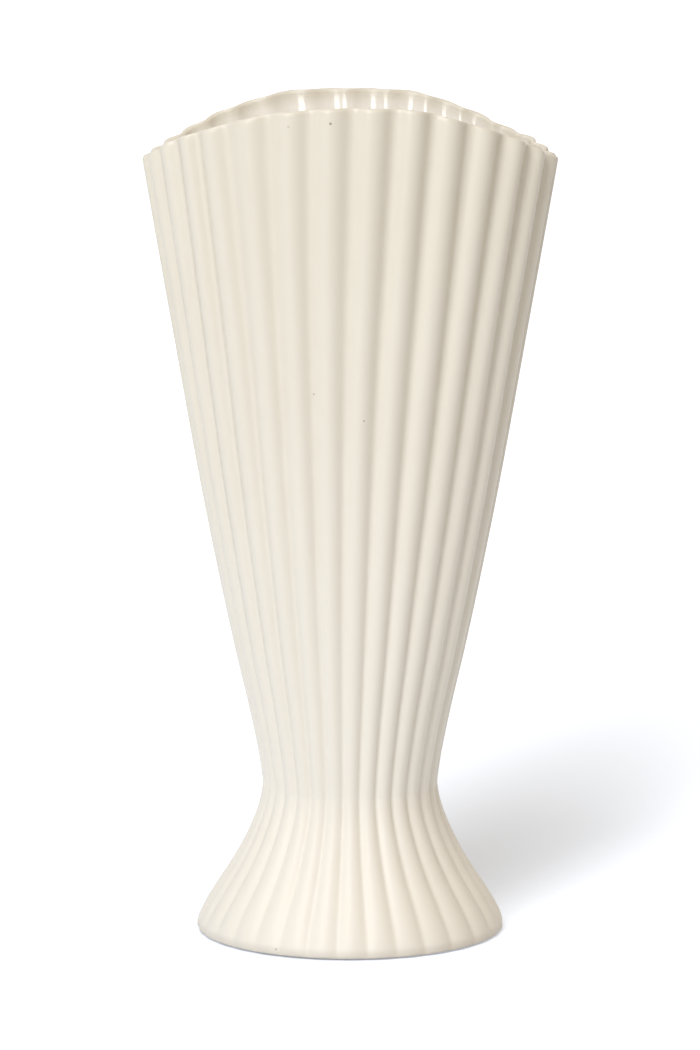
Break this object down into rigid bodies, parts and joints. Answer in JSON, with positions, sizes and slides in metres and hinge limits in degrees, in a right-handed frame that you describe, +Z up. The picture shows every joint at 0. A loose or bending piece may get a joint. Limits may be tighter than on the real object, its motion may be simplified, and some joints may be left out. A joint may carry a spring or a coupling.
{
  "type": "fluted fan vase",
  "caption": "Fluted stoneware fan vase: wide, shallow, arched mouth with a scalloped lip, tapering to a round waist on a flared fluted foot.",
  "frame": {"origin": "centre of the resting plane under the foot, on the vase's upright axis", "axes": "+Z up, X along the wide way of the fan, -Y towards its front; front and back are alike"},
  "size_m": [0.1966, 0.1472, 0.4],
  "materials": {
    "glaze": "satin cream glaze",
    "foot_glaze": "satin cream glaze, bare clay under the foot ring",
    "bare_clay": "unglazed fired clay",
    "felt": "pressed felt"
  },
  "bodies": {
    "root": {"fan_body": "glaze", "flared_foot": "foot_glaze", "luting_ring": "bare_clay", "foot_pads": "felt"}
  },
  "joints": []
}
